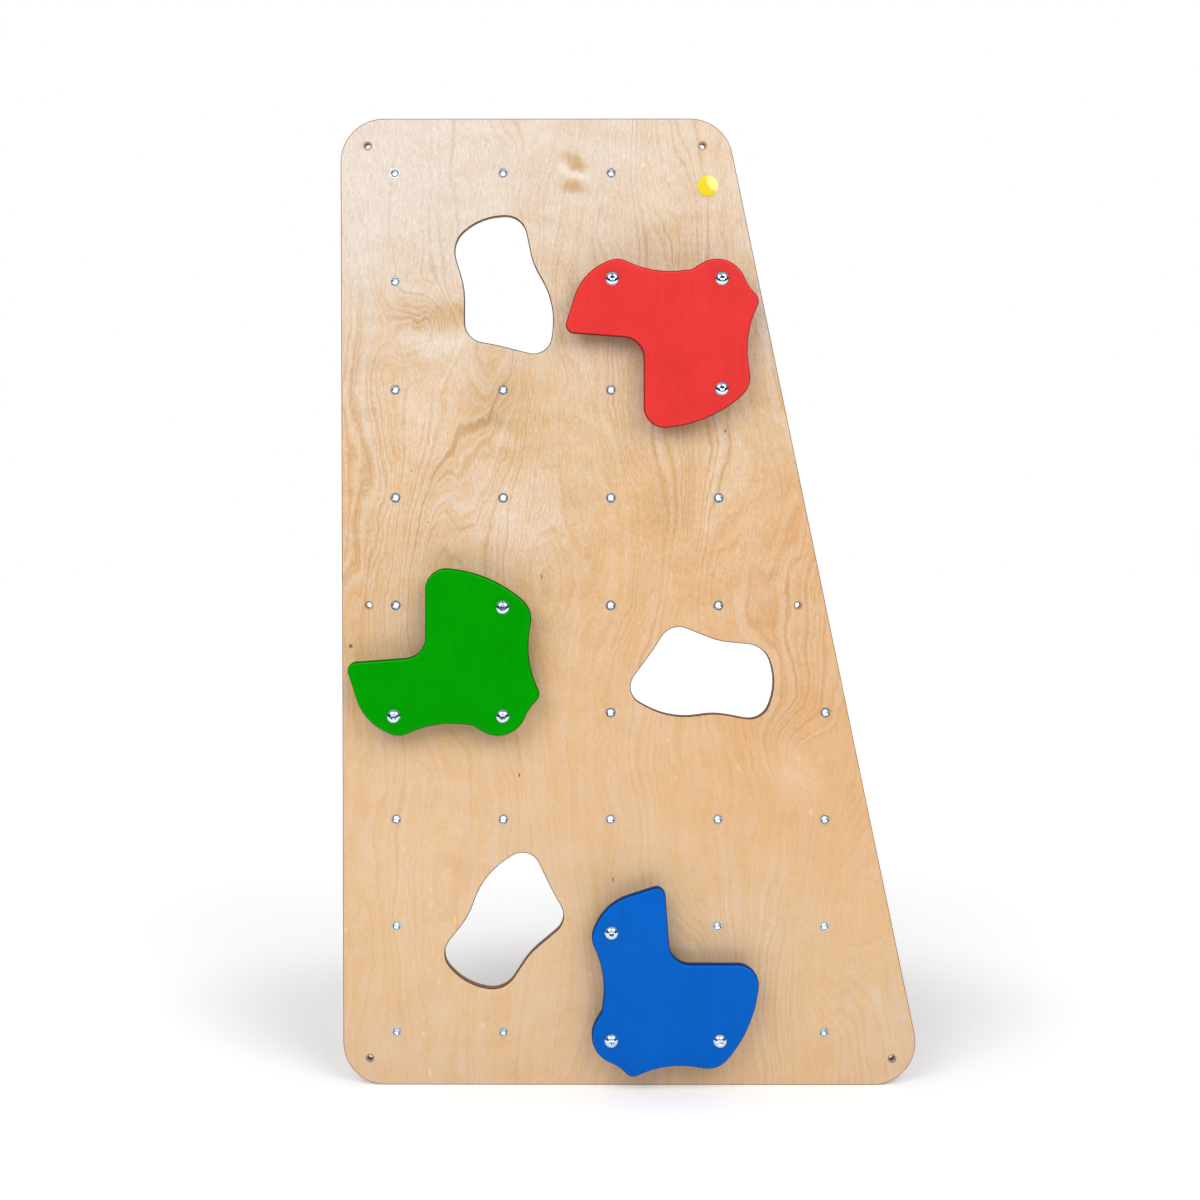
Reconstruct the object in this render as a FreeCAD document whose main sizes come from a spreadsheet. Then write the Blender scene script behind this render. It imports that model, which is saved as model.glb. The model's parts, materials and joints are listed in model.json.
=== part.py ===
"""Climbing wall panel: a plywood board with an insert grid, three bolted hold plates and a badge.

The board stands upright in the XZ plane. X runs along its base, Z is up and its climbing face
looks towards -Y. The origin is the middle of the board's bottom edge: half way along the base
and half way through the board.
"""
import FreeCAD, Part
import math
import os
import Sketcher

SIZES = {
    # Square insert grid. Columns are counted from the straight left edge, rows from the base.
    "grid_pitch": 200,
    "insert_margin": 100,
    # Free board between the last column and the slanted edge, at the base and at the top.
    "base_side_margin": 190,
    "top_side_margin": 210,
    # Board
    "panel_thickness": 18,
    "corner_round": 80,
    "edge_round": 1.5,
    # Holes for the screws that hold the board to a wall
    "fixing_margin": 50,
    "slant_fixing_margin": 52,
    "fixing_hole_radius": 5,
    "countersink_depth": 3.3,
    # Threaded inserts, which sit flush with the climbing face
    "insert_bore_radius": 5.1,
    "insert_body_radius": 8,
    "insert_rim_width": 1.25,
    "insert_rim_thickness": 1.5,
    "insert_mouth_radius": 7.2,
    "insert_mouth_depth": 2.1,
    "insert_end_chamfer": 0.6,
    "insert_back_gap": 1,
    "insert_fit_gap": 0.05,
    # Hold plates
    "hold_thickness": 19,
    "hold_edge_round": 5,
    "hold_bolt_gap": 0.5,
    # Distance sleeves between the board and a hold plate
    "sleeve_length": 30,
    "sleeve_radius": 13,
    "sleeve_bolt_gap": 0.5,
    # Bolts through the hold plates
    "bolt_shank_radius": 6,
    "bolt_thread_gap": 0.05,
    "bolt_engagement": 11,
    "bolt_tip_chamfer": 1,
    "bolt_head_radius": 13,
    "bolt_head_height": 6.5,
    "bolt_flange_thickness": 1.2,
    "bolt_crown_radius": 6,
    "bolt_dome_radius": 13,
    "socket_flats": 8,
    "socket_depth": 4.5,
    # Badge
    "badge_side_margin": 58,
    "badge_top_margin": 124,
    "badge_radius": 19,
    "badge_rim_height": 1.4,
    "badge_height": 3,
    "badge_dome_radius": 114,
}

GRID_ROWS = 9
BASE_COLUMNS = 5
TOP_COLUMNS = 3

# Inserts in each row, from the base up, as column numbers.
INSERT_COLUMNS = [
    (0, 1, 2, 3, 4),
    (0, 2, 3, 4),
    (0, 1, 2, 3, 4),
    (0, 1, 2, 4),
    (0, 1, 2, 3),
    (0, 1, 2, 3),
    (0, 1, 2, 3),
    (0, 2, 3),
    (0, 1, 2),
]

# The outlines below are given in grid pitches, so that they keep their place among the inserts.

# One free-form outline serves all three cut-outs. Its corners are (x, z, rounding radius) about
# the middle of the opening, anticlockwise.
CUTOUT_CORNERS = [
    (0.18, 0.66, 0.195),
    (-0.205, 0.65, 0.56),
    (-0.485, 0.41, 0.245),
    (-0.36, 0, 0.7),
    (-0.36, -0.48, 0.19),
    (-0.055, -0.535, 0.75),
    (0.42, -0.655, 0.17),
    (0.485, -0.145, 0.75),
    (0.27, 0.215, 0.69),
]

# Each cut-out takes the place of one insert: its column and row, how far its middle lies from
# that grid point, and how many degrees the outline is turned anticlockwise.
CUTOUTS = [
    ("upper", 1, 7, 0.005, -0.05, 0),
    ("middle", 3, 3, -0.13, 0.33, -112),
    ("lower", 1, 1, 0.015, 0.02, 130),
]

# One L-shaped outline serves all three hold plates. Its corners are (x, z, rounding radius)
# about the corner bolt, anticlockwise.
HOLD_CORNERS = [
    (0.08, -0.31, 0.27),
    (0.24, 0.07, 0.4),
    (0.355, 0.185, 0.09),
    (0.205, 0.51, 0.9),
    (0.28, 0.985, 0.235),
    (-0.095, 1.305, 1.18),
    (-0.71, 1.385, 0.195),
    (-0.71, 0.545, 0.195),
    (-1.45, 0.49, 0.08),
    (-1.275, -0.055, 0.5),
    (-0.955, -0.2, 0.2),
    (-0.625, -0.05, 0.9),
    (-0.275, -0.085, 0.11),
]

X_AXIS = FreeCAD.Vector(1, 0, 0)
Y_AXIS = FreeCAD.Vector(0, 1, 0)
Z_AXIS = FreeCAD.Vector(0, 0, 1)


class Length:
    """A number in millimetres together with the spreadsheet expression that gives it."""

    def __init__(self, value, text=None):
        self.value = float(value)
        self.text = text if text is not None else repr(value)

    def __add__(self, other):
        other = as_length(other)
        return Length(self.value + other.value, f"({self.text} + {other.text})")

    def __sub__(self, other):
        other = as_length(other)
        return Length(self.value - other.value, f"({self.text} - {other.text})")

    def __mul__(self, other):
        other = as_length(other)
        return Length(self.value * other.value, f"({self.text} * {other.text})")

    def __truediv__(self, other):
        other = as_length(other)
        return Length(self.value / other.value, f"({self.text} / {other.text})")

    def __neg__(self):
        return Length(-self.value, f"(0 - {self.text})")


def as_length(number):
    """Wrap a plain number so that it can be combined with named sizes."""
    return number if isinstance(number, Length) else Length(number)


def write_sheet(doc):
    """Write every driving dimension into the spreadsheet under its own alias."""
    sheet = doc.addObject("Spreadsheet::Sheet", "Sizes")
    names = dict(SIZES)
    for number, corner in enumerate(CUTOUT_CORNERS, 1):
        names.update(zip((f"cutout_{number}_x", f"cutout_{number}_z", f"cutout_{number}_round"), corner))
    for number, corner in enumerate(HOLD_CORNERS, 1):
        names.update(zip((f"hold_{number}_x", f"hold_{number}_z", f"hold_{number}_round"), corner))
    for name, column, row, x_shift, z_shift, turn in CUTOUTS:
        names[f"cutout_{name}_x_shift"] = x_shift
        names[f"cutout_{name}_z_shift"] = z_shift
        names[f"cutout_{name}_turn"] = turn
    for line, (alias, value) in enumerate(names.items(), 1):
        sheet.set(f"A{line}", alias)
        sheet.set(f"B{line}", str(value))
        sheet.setAlias(f"B{line}", alias)
    doc.recompute()
    return sheet


def size(alias):
    """The named size, read from the spreadsheet."""
    return Length(sizes.get(alias), f"Sizes.{alias}")


def pitches(alias):
    """A named size that the spreadsheet gives in grid pitches, in millimetres."""
    return size(alias) * size("grid_pitch")


def corner_sizes(outline, count):
    """The corners (x, z, rounding radius) of a named outline, in millimetres."""
    return [(pitches(f"{outline}_{number}_x"), pitches(f"{outline}_{number}_z"),
             pitches(f"{outline}_{number}_round")) for number in range(1, count + 1)]


# ---------------------------------------------------------------- sketch helpers

def new_body(label):
    """An empty body whose label is the name of its sub-part."""
    body = doc.addObject("PartDesign::Body", label)
    body.Label = label
    return body


def place(body, x, y, z, rotation=None):
    """Put a body at (x, y, z), bound to the named sizes, with a fixed rotation."""
    centre = FreeCAD.Vector(x.value, y.value, z.value)
    body.Placement = FreeCAD.Placement(centre, rotation or FreeCAD.Rotation())
    body.setExpression("Placement.Base.x", x.text)
    body.setExpression("Placement.Base.y", y.text)
    body.setExpression("Placement.Base.z", z.text)


def new_sketch(body, plane_role, name):
    """A sketch on one of the body's own origin planes."""
    sketch = body.newObject("Sketcher::SketchObject", f"{body.Name}_{name}")
    planes = [item for item in body.Origin.OriginFeatures if item.Role == plane_role]
    sketch.AttachmentSupport = [(planes[0], "")]
    sketch.MapMode = "FlatFace"
    return sketch


def offset_sketch(sketch, along_normal):
    """Move a sketch along its normal by a named size."""
    sketch.AttachmentOffset = FreeCAD.Placement(
        FreeCAD.Vector(0, 0, along_normal.value), FreeCAD.Rotation())
    sketch.setExpression("AttachmentOffset.Base.z", along_normal.text)


def constrain(sketch, kind, *targets):
    """Add a constraint whose last target may be a Length, which then drives it."""
    value = targets[-1]
    if not isinstance(value, Length):
        sketch.addConstraint(Sketcher.Constraint(kind, *targets))
        return
    index = sketch.addConstraint(Sketcher.Constraint(kind, *targets[:-1], value.value))
    sketch.setExpression(f"Constraints[{index}]", value.text)


def fix_point(sketch, geometry, point, x, y):
    """Hold one point of a geometry at (x, y) from the sketch's origin."""
    constrain(sketch, "DistanceX", -1, 1, geometry, point, x)
    constrain(sketch, "DistanceY", -1, 1, geometry, point, y)


def add_circle(sketch, x, y, radius):
    """A circle whose centre and radius are driven by named sizes."""
    centre = FreeCAD.Vector(x.value, y.value, 0)
    geometry = sketch.addGeometry(Part.Circle(centre, Z_AXIS, radius.value))
    fix_point(sketch, geometry, 3, x, y)
    constrain(sketch, "Radius", geometry, radius)


def add_profile(sketch, points, domes=None):
    """A closed outline through points (x, y). domes gives the radius of any edge that is an arc.

    An edge is counted from its first point, and an arc bulges to the right of its direction.
    """
    domes = domes or {}
    count = len(points)
    spots = [FreeCAD.Vector(x.value, y.value, 0) for x, y in points]
    edges = []
    for index in range(count):
        start, end = spots[index], spots[(index + 1) % count]
        if index not in domes:
            edges.append((sketch.addGeometry(Part.LineSegment(start, end)), 1, 2))
            continue
        radius = domes[index]
        chord = end - start
        outward = FreeCAD.Vector(chord.y, -chord.x, 0).normalize()
        rise = radius.value - math.sqrt(radius.value ** 2 - chord.Length ** 2 / 4)
        crest = (start + end) * 0.5 + outward * rise
        arc = Part.Arc(start, crest, end)
        geometry = sketch.addGeometry(arc)
        starts_at_start = (sketch.Geometry[geometry].StartPoint - start).Length < 1e-6
        edges.append((geometry, 1, 2) if starts_at_start else (geometry, 2, 1))
        constrain(sketch, "Radius", geometry, radius)
    for index, (geometry, start, end) in enumerate(edges):
        follower, follower_start, follower_end = edges[(index + 1) % count]
        constrain(sketch, "Coincident", geometry, end, follower, follower_start)
        fix_point(sketch, geometry, start, *points[index])


def add_rounded_outline(sketch, corners):
    """A closed outline of straight lines whose corners (x, y, radius) are rounded by tangent arcs."""
    count = len(corners)
    spots = [FreeCAD.Vector(x.value, y.value, 0) for x, y, radius in corners]
    turns = []
    for index, spot in enumerate(spots):
        incoming = (spot - spots[index - 1]).normalize()
        outgoing = (spots[(index + 1) % count] - spot).normalize()
        turn = math.atan2(incoming.cross(outgoing).z, incoming.dot(outgoing))
        radius = corners[index][2].value
        tangent = radius * math.tan(abs(turn) / 2)
        arc_start = spot - incoming * tangent
        arc_end = spot + outgoing * tangent
        inward = FreeCAD.Vector(-incoming.y, incoming.x, 0) * math.copysign(1, turn)
        turns.append((turn, radius, arc_start, arc_end, arc_start + inward * radius))
    lines = []
    for index in range(count):
        arc_end, next_start = turns[index][3], turns[(index + 1) % count][2]
        lines.append(sketch.addGeometry(Part.LineSegment(arc_end, next_start)))
    for index, (turn, radius, arc_start, arc_end, centre) in enumerate(turns):
        first, last = (arc_start, arc_end) if turn > 0 else (arc_end, arc_start)
        first_angle = math.atan2(first.y - centre.y, first.x - centre.x)
        last_angle = math.atan2(last.y - centre.y, last.x - centre.x)
        circle = Part.Circle(centre, Z_AXIS, radius)
        arc = sketch.addGeometry(Part.ArcOfCircle(circle, first_angle, last_angle))
        enter, leave = (1, 2) if turn > 0 else (2, 1)
        line_in, line_out = lines[index - 1], lines[index]
        constrain(sketch, "Tangent", line_in, 2, arc, enter)
        constrain(sketch, "Tangent", line_out, 1, arc, leave)
        x, y, rounding = corners[index]
        constrain(sketch, "Radius", arc, rounding)
        corner = sketch.addGeometry(Part.Point(spots[index]), True)
        constrain(sketch, "PointOnObject", corner, 1, line_in)
        constrain(sketch, "PointOnObject", corner, 1, line_out)
        fix_point(sketch, corner, 1, x, y)


# ---------------------------------------------------------------- feature helpers

def pad(body, sketch, length, symmetric=False):
    """Thicken a sketch along its normal, or to both sides of its plane."""
    feature = body.newObject("PartDesign::Pad", f"{sketch.Name}_pad")
    feature.Profile = sketch
    feature.SideType = "Symmetric" if symmetric else "One side"
    feature.Length = length.value
    feature.setExpression("Length", length.text)
    doc.recompute()
    return feature


def pocket(body, sketch, depth=None):
    """Cut a sketch into the body: to a depth against its normal, or right through both ways."""
    volume = body.Shape.Volume
    feature = body.newObject("PartDesign::Pocket", f"{sketch.Name}_pocket")
    feature.Profile = sketch
    if depth is None:
        feature.SideType = "Symmetric"
        feature.Type = "ThroughAll"
    else:
        feature.Type = "Length"
        feature.Length = depth.value
        feature.setExpression("Length", depth.text)
    doc.recompute()
    if body.Shape.Volume >= volume:
        raise RuntimeError(f"{feature.Name} cut nothing")
    return feature


def revolve(body, sketch):
    """Turn a sketch once round its own vertical axis."""
    feature = body.newObject("PartDesign::Revolution", f"{sketch.Name}_turned")
    feature.Profile = sketch
    feature.ReferenceAxis = (sketch, ["V_Axis"])
    feature.Angle = 360
    doc.recompute()
    return feature


def dress(body, kind, base, edges, driven, length):
    """Round or chamfer the edges of a feature that pass the test."""
    names = [f"Edge{number}" for number, edge in enumerate(base.Shape.Edges, 1) if edges(edge)]
    if not names:
        raise RuntimeError(f"{body.Label} has no edge to dress")
    feature = body.newObject(kind, f"{base.Name}_{driven.lower()}")
    feature.Base = (base, names)
    setattr(feature, driven, length.value)
    feature.setExpression(driven, length.text)
    doc.recompute()
    return feature


def lies_on(edge, y):
    """True for an edge that lies wholly in the plane at this depth."""
    box = edge.BoundBox
    return abs(box.YMin - y) < 1e-4 and abs(box.YMax - y) < 1e-4


# ---------------------------------------------------------------- shared positions

def column_x(column):
    """Where an insert column stands, from the middle of the base."""
    left_edge = -base_width() / 2
    return left_edge + size("insert_margin") + size("grid_pitch") * column


def row_z(row):
    """How high an insert row is."""
    return size("insert_margin") + size("grid_pitch") * row


def base_width():
    """Width of the board along its base, before the corners are rounded."""
    grid = size("grid_pitch") * (BASE_COLUMNS - 1)
    return size("insert_margin") + grid + size("base_side_margin")


def top_width():
    """Width of the board along its top, before the corners are rounded."""
    grid = size("grid_pitch") * (TOP_COLUMNS - 1)
    return size("insert_margin") + grid + size("top_side_margin")


def panel_height():
    """Height of the board."""
    return size("insert_margin") * 2 + size("grid_pitch") * (GRID_ROWS - 1)


def slanted_edge_x(z):
    """Where the slanted edge is at a height."""
    taper = (base_width() - top_width()) * z / panel_height()
    return base_width() / 2 - taper


def climbing_face_y():
    """Depth of the board's front face."""
    return -size("panel_thickness") / 2


def insert_rim_radius():
    """Outer radius of an insert's flush rim."""
    return size("insert_body_radius") + size("insert_rim_width")


def hold_front_y():
    """Depth of a hold plate's front face, where the bolt heads seat."""
    return climbing_face_y() - size("sleeve_length") - size("hold_thickness")


# ---------------------------------------------------------------- sub-parts

def make_panel():
    """The plywood board with its cut-outs, insert holes and countersunk fixing holes."""
    body = new_body("panel")
    thickness = size("panel_thickness")
    half_base = base_width() / 2
    corner_round = size("corner_round")
    outline = new_sketch(body, "XZ_Plane", "outline")
    add_rounded_outline(outline, [
        (-half_base, Length(0), corner_round),
        (half_base, Length(0), corner_round),
        (slanted_edge_x(panel_height()), panel_height(), corner_round),
        (-half_base, panel_height(), corner_round),
    ])
    pad(body, outline, thickness, symmetric=True)

    for name, column, row, x_shift, z_shift, turn in CUTOUTS:
        cutout = new_sketch(body, "XZ_Plane", f"cutout_{name}")
        x = column_x(column) + pitches(f"cutout_{name}_x_shift")
        z = row_z(row) + pitches(f"cutout_{name}_z_shift")
        cutout.AttachmentOffset = FreeCAD.Placement(
            FreeCAD.Vector(x.value, z.value, 0), FreeCAD.Rotation(Z_AXIS, turn))
        cutout.setExpression("AttachmentOffset.Base.x", x.text)
        cutout.setExpression("AttachmentOffset.Base.y", z.text)
        cutout.setExpression("AttachmentOffset.Rotation.Angle", f"Sizes.cutout_{name}_turn * 1 deg")
        add_rounded_outline(cutout, corner_sizes("cutout", len(CUTOUT_CORNERS)))
        pocket(body, cutout)

    # The outlines' edges are open arcs and lines; every drilled hole is a closed circle.
    edge_round = size("edge_round")
    half = thickness.value / 2
    dress(body, "PartDesign::Fillet", body.Tip,
          lambda edge: lies_on(edge, -half) or lies_on(edge, half), "Radius", edge_round)

    insert_holes = new_sketch(body, "XZ_Plane", "insert_holes")
    rim_recesses = new_sketch(body, "XZ_Plane", "rim_recesses")
    offset_sketch(rim_recesses, thickness / 2)
    for row, columns in enumerate(INSERT_COLUMNS):
        for column in columns:
            x, z = column_x(column), row_z(row)
            add_circle(insert_holes, x, z, size("insert_body_radius") + size("insert_fit_gap"))
            add_circle(rim_recesses, x, z, insert_rim_radius() + size("insert_fit_gap"))
    pocket(body, insert_holes)
    pocket(body, rim_recesses, size("insert_rim_thickness"))

    fixing_holes = new_sketch(body, "XZ_Plane", "fixing_holes")
    fixing_radius = size("fixing_hole_radius")
    for z in (size("fixing_margin"), panel_height() / 2, panel_height() - size("fixing_margin")):
        add_circle(fixing_holes, size("fixing_margin") - half_base, z, fixing_radius)
        add_circle(fixing_holes, slanted_edge_x(z) - size("slant_fixing_margin"), z, fixing_radius)
    drilled = pocket(body, fixing_holes)

    def is_fixing_mouth(edge):
        round_edge = isinstance(edge.Curve, Part.Circle) and edge.isClosed()
        return (round_edge and lies_on(edge, -half)
                and abs(edge.Curve.Radius - fixing_radius.value) < 1e-4)

    dress(body, "PartDesign::Chamfer", drilled, is_fixing_mouth, "Size", size("countersink_depth"))
    return body


def make_insert(column, row):
    """A threaded sleeve with a flush rim, bored right through, its mouth coned."""
    body = new_body(f"insert_c{column}_r{row}")
    bore = size("insert_bore_radius")
    barrel = size("insert_body_radius")
    rim = insert_rim_radius()
    rim_depth = size("insert_rim_thickness")
    length = size("panel_thickness") - size("insert_back_gap")
    chamfer = size("insert_end_chamfer")
    profile = new_sketch(body, "XY_Plane", "profile")
    add_profile(profile, [
        (size("insert_mouth_radius"), Length(0)),
        (rim, Length(0)),
        (rim, rim_depth),
        (barrel, rim_depth),
        (barrel, length - chamfer),
        (barrel - chamfer, length),
        (bore, length),
        (bore, size("insert_mouth_depth")),
    ])
    revolve(body, profile)
    place(body, column_x(column), climbing_face_y(), row_z(row))
    return body


def make_hold(colour, column, row, rotation):
    """An L-shaped plate with rounded edges, held by a bolt at its corner and one on each arm.

    It is drawn about its corner bolt, with one arm towards -X and one towards +Z.
    """
    body = new_body(f"hold_{colour}")
    outline = new_sketch(body, "XZ_Plane", "outline")
    add_rounded_outline(outline, corner_sizes("hold", len(HOLD_CORNERS)))
    plate = pad(body, outline, size("hold_thickness"), symmetric=True)
    half = size("hold_thickness").value / 2
    dress(body, "PartDesign::Fillet", plate,
          lambda edge: lies_on(edge, -half) or lies_on(edge, half), "Radius", size("hold_edge_round"))
    holes = new_sketch(body, "XZ_Plane", "bolt_holes")
    hole_radius = size("bolt_shank_radius") + size("hold_bolt_gap")
    here = Length(0)
    add_circle(holes, here, here, hole_radius)
    add_circle(holes, -size("grid_pitch"), here, hole_radius)
    add_circle(holes, here, size("grid_pitch"), hole_radius)
    pocket(body, holes)
    place(body, column_x(column), hold_front_y() + size("hold_thickness") / 2, row_z(row), rotation)
    return body


def make_sleeve(label, column, row):
    """A plain tube that keeps a hold plate clear of the board."""
    body = new_body(label)
    section = new_sketch(body, "XZ_Plane", "section")
    centre = Length(0)
    add_circle(section, centre, centre, size("sleeve_radius"))
    add_circle(section, centre, centre, size("bolt_shank_radius") + size("sleeve_bolt_gap"))
    pad(body, section, size("sleeve_length"))
    place(body, column_x(column), climbing_face_y(), row_z(row))
    return body


def make_bolt(label, column, row):
    """A domed flange bolt with a hexagon socket. Its origin is where the head seats."""
    body = new_body(label)
    head = size("bolt_head_radius")
    flange = size("bolt_flange_thickness")
    height = size("bolt_head_height")
    shank = size("bolt_shank_radius")
    root = size("insert_bore_radius") - size("bolt_thread_gap")
    to_insert = size("hold_thickness") + size("sleeve_length")
    length = to_insert + size("bolt_engagement")
    chamfer = size("bolt_tip_chamfer")
    profile = new_sketch(body, "XY_Plane", "profile")
    add_profile(profile, [
        (Length(0), -height),
        (size("bolt_crown_radius"), -height),
        (head, -flange),
        (head, Length(0)),
        (shank, Length(0)),
        (shank, to_insert - chamfer),
        (root, to_insert),
        (root, length - chamfer),
        (root - chamfer, length),
        (Length(0), length),
    ], domes={1: size("bolt_dome_radius")})
    revolve(body, profile)
    socket = new_sketch(body, "XZ_Plane", "socket")
    offset_sketch(socket, height)
    reach = size("socket_flats") / math.sqrt(3)
    corners = []
    for step in range(6):
        angle = math.radians(60 * step)
        corners.append((reach * round(math.cos(angle), 9), reach * round(math.sin(angle), 9)))
    add_profile(socket, corners)
    pocket(body, socket, size("socket_depth"))
    place(body, column_x(column), hold_front_y(), row_z(row))
    return body


def make_badge():
    """A plain, slightly domed disc on the climbing face."""
    body = new_body("badge_disc")
    radius = size("badge_radius")
    profile = new_sketch(body, "XY_Plane", "profile")
    add_profile(profile, [
        (Length(0), -size("badge_height")),
        (radius, -size("badge_rim_height")),
        (radius, Length(0)),
        (Length(0), Length(0)),
    ], domes={0: size("badge_dome_radius")})
    revolve(body, profile)
    z = panel_height() - size("badge_top_margin")
    place(body, slanted_edge_x(z) - size("badge_side_margin"), climbing_face_y(), z)
    return body


# Each hold: the column and row of its corner bolt, those of its other two bolts, and how the
# plate is turned.
HOLDS = [
    ("red", (3, 7), [(2, 7), (3, 6)], FreeCAD.Rotation(X_AXIS, 180)),
    ("green", (1, 3), [(0, 3), (1, 4)], FreeCAD.Rotation()),
    ("blue", (2, 0), [(2, 1), (3, 0)], FreeCAD.Rotation(Y_AXIS, 90)),
]

doc = FreeCAD.newDocument("climbing_wall")
sizes = write_sheet(doc)

sub_parts = [make_panel()]
for row, columns in enumerate(INSERT_COLUMNS):
    for column in columns:
        sub_parts.append(make_insert(column, row))
for colour, corner, others, rotation in HOLDS:
    sub_parts.append(make_hold(colour, *corner, rotation))
    for number, (column, row) in enumerate([corner] + others, 1):
        sub_parts.append(make_sleeve(f"sleeve_{colour}_{number}", column, row))
        sub_parts.append(make_bolt(f"bolt_{colour}_{number}", column, row))
sub_parts.append(make_badge())
doc.recompute()

for item in doc.Objects:
    if "Invalid" in item.State or "Error" in item.State:
        raise RuntimeError(f"{item.Name} failed: {item.State}")
for body in sub_parts:
    if body.Shape.isNull() or not body.Shape.isValid():
        raise RuntimeError(f"{body.Label} has no valid shape")

os.makedirs("parts", exist_ok=True)
for body in sub_parts:
    body.Shape.exportStep(os.path.join("parts", f"{body.Label}.step"))
print(len(sub_parts), "sub-parts written")
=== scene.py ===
"""Looks of the climbing board: birch veneer, lacquered hold plates, steel fittings and a small studio.

X runs along the base, Z is up and the climbing face looks towards -Y. All lengths are in metres.
"""

import bmesh
import bpy
import json
import math
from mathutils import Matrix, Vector


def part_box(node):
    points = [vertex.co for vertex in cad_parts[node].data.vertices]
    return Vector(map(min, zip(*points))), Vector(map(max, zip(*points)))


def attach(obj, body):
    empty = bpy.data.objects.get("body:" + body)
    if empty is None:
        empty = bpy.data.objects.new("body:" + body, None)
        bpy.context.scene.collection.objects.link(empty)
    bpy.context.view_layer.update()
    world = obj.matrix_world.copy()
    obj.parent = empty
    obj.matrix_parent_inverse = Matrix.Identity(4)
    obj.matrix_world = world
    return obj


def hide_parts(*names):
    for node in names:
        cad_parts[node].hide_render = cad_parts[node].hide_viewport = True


bl_info = {
    "name": "Climbing board",
    "version": (1, 0, 0),
    "blender": (4, 5, 0),
    "location": "View3D > Sidebar > Climbing board",
    "description": "Finishes the pieces of a climbing board and sets up a pale studio round it",
    "category": "Object",
}

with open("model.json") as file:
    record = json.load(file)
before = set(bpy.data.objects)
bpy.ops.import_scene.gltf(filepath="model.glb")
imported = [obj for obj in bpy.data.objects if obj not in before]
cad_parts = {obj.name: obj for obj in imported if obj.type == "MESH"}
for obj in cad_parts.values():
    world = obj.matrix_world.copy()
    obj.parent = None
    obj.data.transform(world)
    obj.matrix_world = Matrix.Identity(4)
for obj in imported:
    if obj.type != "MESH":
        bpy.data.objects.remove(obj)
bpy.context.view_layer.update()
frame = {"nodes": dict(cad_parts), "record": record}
NODES = frame["nodes"]

BOARD_LOW, BOARD_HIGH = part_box("panel")
BOARD_HEIGHT = BOARD_HIGH.z - BOARD_LOW.z
BOARD_FRONT, BOARD_BACK = BOARD_LOW.y, BOARD_HIGH.y
SLANT = 0.38 / 1.8  # how far the slanted edge leans in for every metre of height
CORNER_CUT = SLANT * 0.09  # how far the slanted edge, run down to the base, passes the rounded corner
EDGE_BAND = 0.03  # how near the outline a point counts as on the board's outer edge
BACK_FIGURE = (2.7, 1.9)  # where the back's veneer is cut from, measured from the front's (x, z)
INSERT_RIM_WIDTH = 0.00125
INSERT_RIM_THICKNESS = 0.0015
SHANK_RADIUS = 0.006
THREAD_ROOT_RADIUS = 0.00505
FLANGE_SOFT = 0.00025  # chamfer of the bolts' flanges
SLEEVE_BORE_RADIUS = 0.0065
FLOOR_GAP = 0.0002  # keeps the floor clear of the board's lowest edge
FULL_TURN = 2 * math.pi


# ---------------------------------------------------------------- sizes and colours

def colour_property(name, description, default):
    """A colour that a user may change."""
    return bpy.props.FloatVectorProperty(
        name=name, description=description, default=default, size=3, min=0, max=1, subtype="COLOR")


def length_property(name, description, default):
    """A length that a user may change, in metres."""
    return bpy.props.FloatProperty(
        name=name, description=description, default=default, min=0, precision=4,
        subtype="DISTANCE", unit="LENGTH")


def share_property(name, description, default):
    """A share from 0 to 1."""
    return bpy.props.FloatProperty(
        name=name, description=description, default=default, min=0, max=1, subtype="FACTOR")


class BoardFinish(bpy.types.PropertyGroup):
    """Veneer and sealed edges of the board."""
    # Pale wood: the veneer's lightest tone, also used for the painted sheen at the top left.
    pale_wood_and_sheen: colour_property("Pale wood", "Veneer where it is lightest", (0.635, 0.540, 0.452))
    warm_wood: colour_property("Warm wood", "Veneer where it is most golden", (0.650, 0.415, 0.208))
    # Pale ring lines: late wood in the pale zone, including the painted sheen at the top left.
    ring_pale_and_sheen: colour_property(
        "Pale ring lines", "Late wood where the veneer is lightest", (0.42, 0.29, 0.185))
    ring_wood: colour_property("Ring lines", "Late wood of the growth rings", (0.340, 0.160, 0.062))
    honey: colour_property("Honey tint", "Tint of the golden half of the board", (1.0, 0.86, 0.70))
    knot_wood: colour_property("Knots", "Pin knots and bark streaks", (0.16, 0.075, 0.035))
    edge_pale: colour_property("Pale plies", "Long-grain plies under the edge sealer", (0.40, 0.18, 0.085))
    edge_dark: colour_property("Dark plies", "End-grain plies under the edge sealer", (0.16, 0.062, 0.030))
    # Dark colours of the rounded edges: near black round the cut-outs, brown round the outer outline.
    cutout_rounding_dark: colour_property(
        "Cut-out rounding", "Sealer soaked into the cut-outs' edges", (0.035, 0.014, 0.006))
    outer_rounding_dark: colour_property(
        "Outer rounding", "Sealer soaked into the outer edges", (0.22, 0.085, 0.032))
    # Countersinks: bare wood darkened as a painted shade of the recess.
    countersink_wood_and_shade: colour_property(
        "Countersinks", "Freshly cut wood round the screw holes", (0.36, 0.24, 0.18))
    ply: length_property("Ply", "Thickness of one veneer layer", 0.0014)
    gloss_roughness: share_property("Lacquer roughness", "Roughness of the clear lacquer", 0.42)


class HoldFinish(bpy.types.PropertyGroup):
    """Colours of the three hold plates."""
    red: colour_property("Red", "Lacquer of the upper plate", (0.590, 0.032, 0.030))
    green: colour_property("Green", "Lacquer of the middle plate", (0.0, 0.257, 0.0))
    blue: colour_property("Blue", "Lacquer of the lower plate", (0.0, 0.097, 0.455))
    roughness: share_property("Lacquer roughness", "Roughness of the coloured lacquer", 0.30)


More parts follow.
